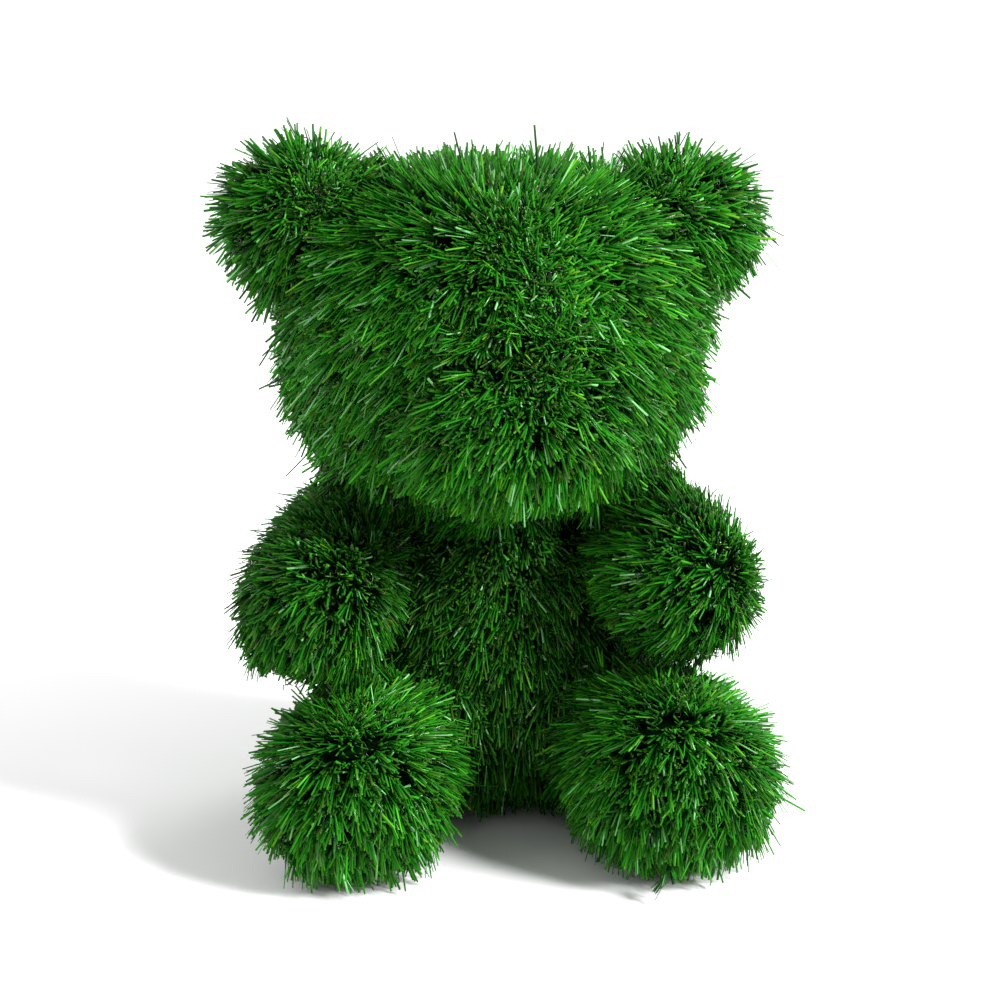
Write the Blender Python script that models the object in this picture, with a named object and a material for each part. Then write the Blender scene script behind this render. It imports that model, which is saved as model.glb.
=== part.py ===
"""Artificial topiary bear: a seated bear covered with long artificial turf, about 0.40 m tall.

Frame: metres, +Z up, the floor is z = 0, the bear faces -Y and its own left side is +X.
Nine closed solids make the bear: head, muzzle, two ears, torso, two arms and two legs. Each one is
the turf-covered form up to the tips of its pile, and its surface is raised in tufts that lie along
the pile. Flat parting planes divide neighbours, with a narrow gap between them.
"""

import math
import random

import bmesh
import bpy
from mathutils import Matrix, Vector, noise
from mathutils.bvhtree import BVHTree
from mathutils.geometry import intersect_point_line

# Driving sizes, in metres.
BEAR_HEIGHT = 0.400
PARTING_GAP = 0.0003
TUFT_SINK = 0.0060
TUFT_RISE = 0.0100
FLOOR_CLEAR = 0.0015
TUFT_CLEAR = 0.0030
NEIGHBOUR_REACH = 0.0100
SHOULDER_TUCK = 0.0030
SEED = 41

# Level of the parting between head and torso, as a share of the height.
NECK_LEVEL = 0.436

# Pieces that are fitted round another one.
CARRIERS = {
    "muzzle": "head",
    "ear_left": "head",
    "ear_right": "head",
    "arm_left": "torso",
    "arm_right": "torso",
    "leg_left": "torso",
    "leg_right": "torso",
}

# Share of a tuft's own width by which its tip lies over.
TUFT_LEAN = 0.78

# Lumps of the stuffed form under the pile, in metres, and their spacing as a share of the height.
LUMP_RISE = 0.0022
LUMP_SPACING = 0.115

# Balls: centre and half axes as shares of the bear's height, pitch of the front in degrees,
# sideways tilt in degrees, cells along one edge of the starting cube, direction of the whorl,
# pull of gravity on the pile, and how much squarer than an egg the upper half is.
BALLS = {
    "head": {
        "centre": (0.0, -0.022, 0.677),
        "half": (0.316, 0.270, 0.269),
        "pitch": 0.0,
        "roll": 0.0,
        "cells": 10,
        "whorl": (0.08, -0.70, 0.72),
        "droop": 0.45,
        "crown": 0.90,
    },
    "muzzle": {
        "centre": (0.0, -0.262, 0.610),
        "half": (0.158, 0.120, 0.124),
        "pitch": -15.0,
        "roll": 0.0,
        "cells": 6,
        "whorl": (0.25, -0.80, 0.50),
        "droop": 0.40,
        "crown": 0.0,
    },
    "torso": {
        "centre": (0.0, -0.008, 0.212),
        "half": (0.232, 0.212, 0.275),
        "pitch": 0.0,
        "roll": 0.0,
        "cells": 8,
        "whorl": (0.0, -0.15, 0.98),
        "droop": 0.90,
        "crown": 0.0,
    },
    "ear": {
        "centre": (0.271, -0.024, 0.854),
        "half": (0.116, 0.090, 0.117),
        "pitch": 0.0,
        "roll": 38.0,
        "cells": 6,
        "whorl": (-0.35, -0.62, 0.70),
        "droop": 0.35,
        "crown": 0.35,
    },
}

# Limbs: root and end of the middle line and the radius at each, as shares of the bear's height,
# and the same words for the pile as above.
LIMBS = {
    "arm": {
        "root": (0.214, 0.000, 0.414),
        "end": (0.280, -0.225, 0.356),
        "root_radius": 0.092,
        "end_radius": 0.113,
        "cells": 6,
        "whorl": (0.05, -0.97, 0.22),
        "droop": 0.40,
    },
    "leg": {
        "root": (0.160, -0.050, 0.115),
        "end": (0.220, -0.342, 0.125),
        "root_radius": 0.118,
        "end_radius": 0.148,
        "cells": 7,
        "whorl": (0.16, -0.84, 0.52),
        "droop": 0.25,
    },
}

# What one side does in its own way, as the stuffed and hand-closed limbs do.
OWN_WAYS = {
    "arm_left": {"end": (0.241, -0.230, 0.380), "end_radius": 0.120},
    "leg_right": {"end": (0.232, -0.322, 0.116), "end_radius": 0.139},
    "ear_right": {"centre": (0.272, -0.022, 0.866), "half": (0.123, 0.090, 0.122)},
}

# Start of the lumps and of the seeded numbers of each kind of piece.
PHASES = {"head": 1.3, "muzzle": 2.7, "torso": 3.9, "ear": 5.1, "arm": 6.4, "leg": 8.2}

# Pear form of the torso: how much wider it is at its foot and narrower at its shoulders.
PEAR_FOOT = 0.14
PEAR_SHOULDER = 0.06

COLOURS = {
    "head": (0.020, 0.190, 0.012, 1.0),
    "muzzle": (0.024, 0.210, 0.014, 1.0),
    "torso": (0.014, 0.140, 0.010, 1.0),
    "ear_left": (0.022, 0.185, 0.012, 1.0),
    "ear_right": (0.022, 0.185, 0.012, 1.0),
    "arm_left": (0.018, 0.165, 0.011, 1.0),
    "arm_right": (0.018, 0.165, 0.011, 1.0),
    "leg_left": (0.021, 0.180, 0.013, 1.0),
    "leg_right": (0.021, 0.180, 0.013, 1.0),
}


def clear_scene():
    for item in list(bpy.data.objects):
        bpy.data.objects.remove(item, do_unlink=True)


def collection_named(name):
    group = bpy.data.collections.new(name)
    bpy.context.scene.collection.children.link(group)
    return group


def scaled(share):
    """A point or a set of sizes given as shares of the bear's height, in metres."""
    return Vector(share) * BEAR_HEIGHT


def mirrored(vector, side):
    return Vector((vector[0] * side, vector[1], vector[2]))


def cube_ball(cells):
    """A unit ball of four-sided faces, made from a divided cube."""
    mesh = bmesh.new()
    bmesh.ops.create_cube(mesh, size=2.0)
    bmesh.ops.subdivide_edges(mesh, edges=mesh.edges[:], cuts=cells - 1, use_grid_fill=True)
    for vert in mesh.verts:
        spread = [math.tan(value * math.pi / 4.0) for value in vert.co]
        vert.co = Vector(spread).normalized()
    return mesh


def lump(point, phase):
    """Gentle swelling of the stuffed form at a place."""
    place = point / (BEAR_HEIGHT * LUMP_SPACING) + Vector((phase, 2.0 * phase, 0.5 * phase))
    return noise.noise(place) * LUMP_RISE


def ball_form(mesh, spec, side, pear, phase):
    """Shape a unit ball into an egg with the given half axes, turn and place."""
    half = scaled(spec["half"]) - Vector((TUFT_SINK, TUFT_SINK, TUFT_SINK))
    centre = mirrored(scaled(spec["centre"]), side)
    pitch = Matrix.Rotation(math.radians(-spec["pitch"]), 3, "X")
    roll = Matrix.Rotation(math.radians(spec["roll"] * side), 3, "Y")
    turn = roll @ pitch
    for vert in mesh.verts:
        way = vert.co.copy()
        width = 1.0
        if pear:
            width += PEAR_FOOT * max(-way.z, 0.0) - PEAR_SHOULDER * max(way.z, 0.0)
        power = 2.0 + spec["crown"] * max(way.z, 0.0)
        full = sum(abs(value) ** power for value in way) ** (-1.0 / power)
        form = Vector((way.x * half.x * width, way.y * half.y * width, way.z * half.z)) * full
        place = centre + turn @ form
        vert.co = place + (turn @ way) * lump(place, phase)


def limb_form(mesh, spec, side, phase):
    """Shape a unit ball into a limb with two round ends of different radius."""
    root = mirrored(scaled(spec["root"]), side)
    end = mirrored(scaled(spec["end"]), side)
    root_radius = spec["root_radius"] * BEAR_HEIGHT - TUFT_SINK
    end_radius = spec["end_radius"] * BEAR_HEIGHT - TUFT_SINK
    length = (end - root).length
    turn = (end - root).to_track_quat("Z", "Y").to_matrix()
    end_arc = end_radius * math.pi / 2.0
    root_arc = root_radius * math.pi / 2.0
    whole = end_arc + length + root_arc
    for vert in mesh.verts:
        way = vert.co.copy()
        angle = math.acos(max(-1.0, min(1.0, way.z)))
        run = angle / math.pi * whole
        flat = Vector((way.x, way.y, 0.0))
        if flat.length > 1e-9:
            flat.normalize()
        if run < end_arc:
            turned = run / end_radius
            radius = end_radius * math.sin(turned)
            height = length + end_radius * math.cos(turned)
        elif run < end_arc + length:
            share = (run - end_arc) / length
            radius = end_radius + (root_radius - end_radius) * share
            height = length * (1.0 - share)
        else:
            turned = (run - end_arc - length) / root_radius
            radius = root_radius * math.cos(turned)
            height = -root_radius * math.sin(turned)
        place = root + turn @ (flat * radius + Vector((0.0, 0.0, height)))
        vert.co = place + (turn @ way) * lump(place, phase)


def support(spec, way):
    """Distance from an egg's centre to its touching plane square to a direction."""
    half = scaled(spec["half"])
    return math.sqrt(sum((half[i] * way[i]) ** 2 for i in range(3)))


def parting_planes():
    """Flat partings between pieces, each as (first piece, second piece, point, normal).

    The normal points from the first piece to the second one.
    """
    head = BALLS["head"]
    head_centre = scaled(head["centre"])
    down = Vector((0.0, 0.0, -1.0))
    neck = scaled((0.0, 0.0, NECK_LEVEL))
    planes = [("head", "torso", neck, down), ("muzzle", "torso", neck, down)]
    for side, name in ((1, "left"), (-1, "right")):
        to_arm = mirrored(Vector((0.42, -0.06, -0.90)), side).normalized()
        arm_point = head_centre + to_arm * (support(head, to_arm) - SHOULDER_TUCK)
        planes.append(("head", "arm_" + name, arm_point, to_arm))
        planes.append(("muzzle", "arm_" + name, arm_point, to_arm))

        arm = spec_of("arm_" + name)[1]
        leg = spec_of("leg_" + name)[1]
        arm_end = mirrored(scaled(arm["end"]), side)
        leg_root = mirrored(scaled(leg["root"]), side)
        leg_end = mirrored(scaled(leg["end"]), side)
        under, _ = intersect_point_line(arm_end, leg_root, leg_end)
        to_leg = (under - arm_end).normalized()
        share = arm["end_radius"] / (arm["end_radius"] + leg["end_radius"])
        meeting = arm_end.lerp(under, share)
        planes.append(("arm_" + name, "leg_" + name, meeting, to_leg))
    return planes


def planes_of(name, planes):
    """Cutting planes of one piece, each set back by half the gap, with the normal pointing outward."""
    cuts = []
    for first, second, point, normal in planes:
        if name == first:
            cuts.append((point - normal * PARTING_GAP / 2.0, normal.copy()))
        if name == second:
            cuts.append((point + normal * PARTING_GAP / 2.0, -normal))
    if name == "torso" or name.startswith("leg_"):
        cuts.append((Vector((0.0, 0.0, 0.0)), Vector((0.0, 0.0, -1.0))))
    return cuts


def cut_flat(mesh, cuts):
    """Cut the form at each plane and close it there with one flat face."""
    outer = mesh.faces.layers.int.new("outer")
    for face in mesh.faces:
        face[outer] = 1
    for point, normal in cuts:
        everything = mesh.verts[:] + mesh.edges[:] + mesh.faces[:]
        bmesh.ops.bisect_plane(
            mesh,
            geom=everything,
            dist=1e-6,
            plane_co=point,
            plane_no=normal,
            clear_outer=True,
        )
        rim = [edge for edge in mesh.edges if edge.is_boundary]
        if rim:
            closed = bmesh.ops.holes_fill(mesh, edges=rim, sides=0)
            for face in closed["faces"]:
                face[outer] = 0
    bmesh.ops.recalc_face_normals(mesh, faces=mesh.faces[:])


def grown_copy(mesh, reach):
    """A copy of a form with its surface moved outward."""
    copy = mesh.copy()
    copy.normal_update()
    moves = [(vert, vert.normal * reach) for vert in copy.verts]
    for vert, move in moves:
        vert.co += move
    outer = copy.faces.layers.int["outer"]
    for face in copy.faces:
        face[outer] = 0
    return copy


def mesh_object(name, mesh, group):
    data = bpy.data.meshes.new(name)
    mesh.to_mesh(data)
    item = bpy.data.objects.new(name, data)
    group.objects.link(item)
    return item


def split_faces(mesh):
    bmesh.ops.triangulate(mesh, faces=mesh.faces[:], quad_method="BEAUTY", ngon_method="BEAUTY")
    bmesh.ops.recalc_face_normals(mesh, faces=mesh.faces[:])


def largest_island(mesh):
    """Keep only the largest connected part of a mesh."""
    left = set(mesh.faces)
    islands = []
    while left:
        seed = left.pop()
        island = [seed]
        stack = [seed]
        while stack:
            face = stack.pop()
            for edge in face.edges:
                for other in edge.link_faces:
                    if other in left:
                        left.remove(other)
                        island.append(other)
                        stack.append(other)
        islands.append(island)
    islands.sort(key=len, reverse=True)
    loose = [face for island in islands[1:] for face in island]
    if loose:
        bmesh.ops.delete(mesh, geom=loose, context="FACES")


def fit_round(name, mesh, core, group):
    """Take the grown form of the carrier away from a piece, so the piece fits round it."""
    item = mesh_object("fit_" + name, mesh, group)
    cut = item.modifiers.new("fit", "BOOLEAN")
    cut.operation = "DIFFERENCE"
    cut.solver = "EXACT"
    cut.object = core
    graph = bpy.context.evaluated_depsgraph_get()
    fitted = bmesh.new()
    fitted.from_mesh(item.evaluated_get(graph).to_mesh())
    bpy.data.objects.remove(item, do_unlink=True)
    split_faces(fitted)
    bmesh.ops.dissolve_degenerate(fitted, edges=fitted.edges[:], dist=0.00005)
    split_faces(fitted)
    largest_island(fitted)
    return fitted


def pile_way(place, normal, whorl_point, droop):
    """Direction in which the pile lies at a place of the surface."""
    away = place - whorl_point
    away -= normal * away.dot(normal)
    if away.length > 1e-6:
        away.normalize()
    down = Vector((0.0, 0.0, -1.0))
    down -= normal * down.dot(normal)
    way = away + down * droop
    if way.length < 1e-6:
        return Vector((0.0, 0.0, 0.0))
    return way.normalized()


def clear_of(place, trees, margin):
    """Whether a place is outside every other piece by at least the margin."""
    for tree in trees:
        near, normal, _, distance = tree.find_nearest(place)
        if (place - near).dot(normal) < 0.0 or distance < margin:
            return False
    return True


def raise_tufts(mesh, cuts, trees, whorl_point, droop, rng):
    """Raise every cell of the outer surface into a tuft that lies along the pile."""
    outer = mesh.faces.layers.int["outer"]
    mesh.normal_update()
    cap_verts = set()
    for face in mesh.faces:
        if face[outer] == 0:
            cap_verts.update(face.verts)
    cells = [face for face in mesh.faces if face[outer] == 1 and not (cap_verts & set(face.verts))]
    plans = {}
    for face in cells:
        middle = face.calc_center_median()
        width = math.sqrt(face.calc_area())
        way = pile_way(middle, face.normal, whorl_point, droop)
        lean = width * TUFT_LEAN * rng.uniform(0.80, 1.10)
        rise = TUFT_RISE * rng.uniform(0.75, 1.15)
        if not clear_of(middle + face.normal * TUFT_CLEAR, trees, NEIGHBOUR_REACH):
            lean *= 0.3
        plans[face] = [middle, face.normal.copy(), way, lean, rise]

    # Where two neighbours would lie into each other, both stand up more.
    for _ in range(6):
        for face in cells:
            plan = plans[face]
            tip = plan[0] + plan[2] * plan[3]
            for edge in face.edges:
                for other in edge.link_faces:
                    if other is face or other not in plans:
                        continue
                    near = plans[other]
                    apart = (near[0] + near[2] * near[3] - tip).length
                    if apart < 0.66 * (near[0] - plan[0]).length:
                        plan[3] *= 0.80
                        near[3] *= 0.80

    # A tip stays on its own side of every cutting plane and outside the other pieces.
    tips = {}
    for face in cells:
        middle, normal, way, lean, rise = plans[face]
        reach = way * lean + normal * rise
        share = 1.0
        for point, away in cuts:
            room = -(middle - point).dot(away) - FLOOR_CLEAR
            step = reach.dot(away)
            if step > 0.0 and step * share > room:
                share = max(room / step, 0.0)
        while share > 0.08:
            tip = middle + reach * share
            places = [tip] + [tip.lerp(vert.co, 0.5) for vert in face.verts]
            if all(clear_of(place, trees, TUFT_CLEAR) for place in places):
                break
            share *= 0.75
        if share > 0.08:
            tips[face] = middle + reach * share

    for face in cells:
        if face in tips:
            tip = tips[face]
            poked = bmesh.ops.poke(mesh, faces=[face])
            poked["verts"][0].co = tip


def shade(name):
    material = bpy.data.materials.new("turf_" + name)
    material.use_nodes = True
    shader = material.node_tree.nodes["Principled BSDF"]
    shader.inputs["Base Color"].default_value = COLOURS[name]
    shader.inputs["Roughness"].default_value = 0.62
    shader.inputs["Metallic"].default_value = 0.0
    material.diffuse_color = COLOURS[name]
    return material


def spec_of(name):
    """Sizes of a piece, its side, and the start of its lumps and of its seeded numbers."""
    kind, _, side_name = name.partition("_")
    side = -1 if side_name == "right" else 1
    phase = PHASES[kind] + (0.45 * side if side_name else 0.0)
    spec = dict(LIMBS[kind] if kind in LIMBS else BALLS[kind])
    spec.update(OWN_WAYS.get(name, {}))
    return kind, spec, side, phase


def smooth_form(name, planes):
    """The closed form of one piece before its tufts are raised."""
    kind, spec, side, phase = spec_of(name)
    mesh = cube_ball(spec["cells"])
    if kind in LIMBS:
        limb_form(mesh, spec, side, phase)
    else:
        ball_form(mesh, spec, side, kind == "torso", phase)
    cut_flat(mesh, planes_of(name, planes))
    return mesh


def add_tufts(name, mesh, planes, trees):
    kind, spec, side, phase = spec_of(name)
    whorl = mirrored(Vector(spec["whorl"]), side)
    if kind in LIMBS:
        start = mirrored(scaled(spec["end"]), side) + whorl * spec["end_radius"] * BEAR_HEIGHT
    else:
        half = scaled(spec["half"])
        start = mirrored(scaled(spec["centre"]), side)
        start += Vector((whorl.x * half.x, whorl.y * half.y, whorl.z * half.z))
    rng = random.Random(SEED + int(phase * 10))
    others = [tree for other, tree in trees.items() if other != name]
    raise_tufts(mesh, planes_of(name, planes), others, start, spec["droop"], rng)


def finish_piece(name, mesh, group):
    item = mesh_object(name, mesh, group)
    mesh.free()
    item.data.materials.append(shade(name))
    return item


def build():
    clear_scene()
    group = collection_named("artificial_topiary_bear")
    cutters = collection_named("cutters")
    planes = parting_planes()
    forms = {name: smooth_form(name, planes) for name in COLOURS}
    trees = {name: BVHTree.FromBMesh(forms[name]) for name in COLOURS}
    cores = {}
    for carrier in ("head", "torso"):
        add_tufts(carrier, forms[carrier], planes, trees)
        split_faces(forms[carrier])
        grown = grown_copy(forms[carrier], PARTING_GAP)
        core = mesh_object("core_" + carrier, grown, cutters)
        grown.free()
        core.hide_render = True
        core.display_type = "WIRE"
        cores[carrier] = core
    for name, carrier in CARRIERS.items():
        add_tufts(name, forms[name], planes, trees)
        split_faces(forms[name])
        fitted = fit_round(name, forms[name], cores[carrier], cutters)
        forms[name].free()
        forms[name] = fitted
    for name in COLOURS:
        finish_piece(name, forms[name], group)


build()
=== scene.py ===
"""Artificial topiary bear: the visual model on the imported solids.

Every turf-covered part of the bear gets a dark backing, set in from the solid by the depth of the
pile, and a coat of single grass blades that reach the solid's outline. The blades come in tufts,
as stitched turf does, and lie away from the whorl of their part and down. Short curled threads
stand between them where the pile opens.
"""

import math

import bmesh
import bpy
import numpy as np
from bpy.props import FloatProperty, FloatVectorProperty, IntProperty, PointerProperty
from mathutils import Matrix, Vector, noise
from mathutils.bvhtree import BVHTree


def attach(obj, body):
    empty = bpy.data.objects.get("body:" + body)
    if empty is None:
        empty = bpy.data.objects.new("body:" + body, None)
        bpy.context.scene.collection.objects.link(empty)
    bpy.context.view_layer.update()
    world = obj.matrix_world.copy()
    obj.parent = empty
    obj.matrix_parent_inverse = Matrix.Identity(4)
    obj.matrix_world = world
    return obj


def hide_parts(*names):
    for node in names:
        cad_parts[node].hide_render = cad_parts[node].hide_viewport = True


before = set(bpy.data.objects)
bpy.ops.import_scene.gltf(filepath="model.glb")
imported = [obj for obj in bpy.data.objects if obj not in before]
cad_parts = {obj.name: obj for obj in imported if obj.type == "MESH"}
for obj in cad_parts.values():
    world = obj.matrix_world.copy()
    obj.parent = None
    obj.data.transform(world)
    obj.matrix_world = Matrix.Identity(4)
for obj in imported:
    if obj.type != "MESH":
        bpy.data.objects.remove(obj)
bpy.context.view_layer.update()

bl_info = {
    "name": "Artificial topiary bear",
    "version": (1, 0, 0),
    "blender": (4, 5, 0),
    "location": "3D View > Sidebar > Topiary",
    "description": "Grass-covered seated bear, its turf made of single blades",
    "category": "Object",
}

# The palette: a strand's colour is one of its columns, and the strand's UV map says which one, and how
# far up the strand a point lies. The first columns are the threads' own.
BAKE_MAP = "OFBake"
SHADES = 64
THATCH_SHADES = 6

# The two layers of a tuft. Bends are the straight lengths of a blade, each as a share of its length
# and a share of the way from the lean at the root to that at the tip. Taper is the blade's width at
# their ends. Width and length are least and greatest shares of the blade's size, wander is how far
# the blades stray sideways, stance is their lean as a share of the pile's, and shade is a step in the
# palette.
TOP_LAYER = {
    "bends": ((0.4, 0.1), (0.6, 0.7)),
    "taper": (0.0, 1.0, 0.8),
    "width": (0.75, 1.25),
    "length": (0.74, 1.12),
    "wander": math.radians(14.0),
    "stance": 1.0,
    # A step lighter: partly lighter blades, partly painted light on the top of the pile.
    "shade": 0.05,
}
UNDER_LAYER = {
    "bends": ((1.0, 0.55),),
    "taper": (0.0, 1.0),
    "width": (1.00, 1.50),
    "length": (0.38, 0.68),
    "wander": math.radians(60.0),
    "stance": 0.70,
    # A step darker: partly darker blades, partly painted shade of the lower layer under the long blades.
    "shade": -0.10,
}

# The curled threads. Count is how many stand in a tuft that has any, extra is how much more often a
# tuft at a whorl has them, and clear is the height above the floor where they start to grow. Wander is
# how far the curl's axis strays, turn its whole angle, radius and reach its size, start the height of
# its foot as a share of the pile's depth, and rib its thickness as a share of its width.
THREADS = {
    "count": 3,
    "rings": 7,
    "extra": 0.6,
    "clear": 0.020,
    "wander": 0.7,
    "turn": (4.0, 9.0),
    "radius": (0.0012, 0.0026),
    "reach": (0.003, 0.008),
    "start": (0.3, 0.9),
    "rib": 0.8,
}

# Every part's skin, made once because each backing is fitted to all its neighbours' skins.
SKINS = {}
SKIN_SMOOTHING = 20
BACKING_SMOOTHING = 5

# Most triangles of a piece, and the triangles of a bent blade, a straight one and a tuft's threads.
MOST_TRIANGLES = 190_000
BENT_TRIANGLES = 10
STRAIGHT_TRIANGLES = 4
THREAD_TRIANGLES = 25

# The whorl. Inside its core the blades have no common way, and past its limit it has no effect; both
# the core and the distance where the pile lies flat are shares of the reach. Close and length are what
# is left there of the tufts' distance and of the blades' length, turn is how freely blades point.
WHORL_CORE = 0.15
WHORL_LIMIT = 0.05
WHORL_FLAT = 3.0
WHORL_CLOSE = 0.50
WHORL_LENGTH = 0.70
WHORL_TURN = 0.9

# The way of the tufts: how wide the change of droop from side to side is, and how much slow swirls
# and chance turn them.
SIDE_BLEND = 0.03
SWIRL = 0.7
SWIRL_SCALE = 30.0
LOOSENESS = 0.34

# Room to the next part, measured a little above the backing, at which the pile has its least depth and
# its full one. Tight grass is shorter and leans more. A tuft deep inside another part isn't sewn in.
TIGHT_ROOM = 0.003
FREE_ROOM = 0.020
ROOM_HEIGHT = 0.010
LEAST_DEPTH = -0.12
TIGHT_LENGTH = 0.75
TIGHT_LEAN = math.radians(16.0)
COVER_HEIGHT = 0.007
COVER_DEPTH = 0.002

# Tufts: places tried for each, and how much wider apart they are at the back.
TRIES_PER_TUFT = 8.0
THIN_BEHIND = 0.12
BEHIND_DEPTH = 0.06

# Tones, as shares of the palette: the spread between tufts, broad patches and blades, the painted
# shade that darkens the grass beside the next part, where shade falls between the parts, and the share
# of bright blades with their own range, partly painted highlights.
TUFT_TONE = 0.07
PATCH_TONE = 0.12
PATCH_SCALE = 22.0
BLADE_TONE = 0.18
PAINTED_SHADE_TONE = 0.31
BRIGHT_SHARE = 0.04
BRIGHT_TONES = (0.88, 0.99)

# Blades: the chance spread of their lean, the share of the lean at a whorl with what it gains out of
# its reach and where the pile lies flat, and the least and greatest lean. Twist turns a blade on its
# axis. The crest is where the surface faces up, and undersides have shorter grass. Strays are longer.
RISE = math.radians(7.0)
STANDING = (0.70, 0.12, 0.18)
LEANS = (math.radians(3.0), math.radians(84.0))
TWIST = 0.8
CREST_FROM, CREST_TO = 0.55, 0.95
UNDER_FROM, UNDER_TO = 0.3, 0.8
UNDER_CUT = 0.35
STRAY_SHARE = 0.005
STRAY_LENGTH = 1.25
STRAY_LEAN = 0.7

# Height over which blades that would reach below the floor are bent up from it.
FLOOR_PRESS = 0.006

# The stage: half the floor's width, where the lights aim, and the camera's sensor in millimetres.
FLOOR_REACH = 20.0
LIGHT_TARGET = (0.0, -0.03, 0.20)
SENSOR_WIDTH = 36.0

# How the pile of each part lies. The whorl is a line or a point of the part's surface from which
# the blades part; droop is the pull of gravity on them on the side of -X and on that of +X; sway is a
# steady pull; length is the pile's share of the full depth; close is the tufts' distance as a share
# of the usual one, less on small round parts; crest is how much straighter the pile stands on
# top; thatch is the share of tufts with curled threads; the reach of the painted shade is how far from
# the next part the grass is darkened, painted shade where the parts meet; shade is the mean place in
# the palette, set lower on the torso and arms as painted shade where head and arms shade them; seed
# starts the part's chance numbers.
PILES = {
    "head": {
        "whorl": ((-0.004, -0.060, 0.374), (0.028, -0.108, 0.302)),
        "droop": (0.85, 1.6),
        "sway": (0.0, 0.0, 0.0),
        "length": 1.0,
        "close": 1.00,
        "crest": 0.25,
        "thatch": 0.14,
        "painted_shade_reach": 0.026,
        "shade": 0.50,
        "slot": "head",
        "seed": 11,
    },
    "muzzle": {
        "whorl": ((0.018, -0.124, 0.292), (0.032, -0.122, 0.292)),
        "droop": (0.55, 0.75),
        "sway": (-0.1, 0.0, 0.0),
        "length": 0.88,
        "close": 0.90,
        "crest": 0.0,
        "thatch": 0.20,
        "painted_shade_reach": 0.019,
        "shade": 0.52,
        "slot": "muzzle",
        "seed": 12,
    },
    "ear_left": {
        "whorl": ((0.084, -0.032, 0.370), (0.090, -0.032, 0.366)),
        "droop": (0.25, 0.35),
        "sway": (0.0, 0.0, 0.0),
        "length": 0.8,
        "close": 0.84,
        "crest": 0.15,
        "thatch": 0.40,
        "painted_shade_reach": 0.018,
        "shade": 0.48,
        "slot": "ears",
        "seed": 13,
    },
    "ear_right": {
        "whorl": ((-0.102, -0.029, 0.376), (-0.100, -0.032, 0.366)),
        "droop": (0.35, 0.25),
        "sway": (0.0, 0.0, 0.0),
        "length": 0.8,
        "close": 0.84,
        "crest": 0.15,
        "thatch": 0.30,
        "painted_shade_reach": 0.018,
        "shade": 0.45,
        "slot": "ears",
        "seed": 14,
    },
    "torso": {
        "whorl": ((0.004, 0.010, 0.200), (0.008, -0.030, 0.195)),
        "droop": (1.2, 1.2),
        "sway": (-0.32, 0.0, 0.0),
        "length": 0.95,
        "close": 1.00,
        "crest": 0.0,
        "thatch": 0.05,
        # Lower than the other parts: painted shade, as the head and arms shade the torso.
        "painted_shade_reach": 0.052,
        "shade": 0.30,
        "slot": "torso",
        "seed": 15,
    },
    "arm_left": {
        "whorl": ((0.138, -0.100, 0.153), (0.146, -0.084, 0.152)),
        "droop": (0.5, 0.5),
        "sway": (-0.2, 0.0, 0.0),
        "length": 0.78,
        "close": 0.92,
        "crest": 0.0,
        "thatch": 0.35,
        "painted_shade_reach": 0.034,
        # Lower than the head's: painted shade of the arm under the head.
        "shade": 0.44,
        "slot": "arms",
        "seed": 16,
    },
    "arm_right": {
        "whorl": ((-0.052, -0.060, 0.172), (-0.058, -0.068, 0.176)),
        "droop": (0.6, 0.7),
        "sway": (-0.2, 0.0, 0.0),
        "length": 0.78,
        "close": 0.92,
        "crest": 0.0,
        "thatch": 0.25,
        "painted_shade_reach": 0.034,
        # Lower than the head's: painted shade of the arm under the head.
        "shade": 0.39,
        "slot": "arms",
        "seed": 17,
    },
    "leg_left": {
        "whorl": ((0.094, -0.138, 0.106), (0.104, -0.138, 0.106)),
        "droop": (0.5, 0.5),
        "sway": (0.0, 0.0, 0.0),
        "length": 0.84,
        "close": 0.94,
        "crest": 0.0,
        "thatch": 0.12,
        "painted_shade_reach": 0.018,
        "shade": 0.52,
        "slot": "legs",
        "seed": 18,
    },
    "leg_right": {
        "whorl": ((-0.086, -0.134, 0.102), (-0.096, -0.134, 0.102)),
        "droop": (0.5, 0.5),
        "sway": (0.0, 0.0, 0.0),
        "length": 0.82,
        "close": 0.90,
        "crest": 0.0,
        "thatch": 0.12,
        "painted_shade_reach": 0.018,
        "shade": 0.49,
        "slot": "legs",
        "seed": 19,
    },
}

# Stops of the blades' colour, from the darkest to the palest, as shares of the shades.
SHADE_STOPS = (
    (0.00, "deep"),
    (0.30, "bottle"),
    (0.55, "emerald"),
    (0.78, "leaf"),
    (0.92, "lime"),
    # The palest stop is a painted highlight: the whitish gloss streaks on the blades.
    (1.00, "pale_highlight"),
)


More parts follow.
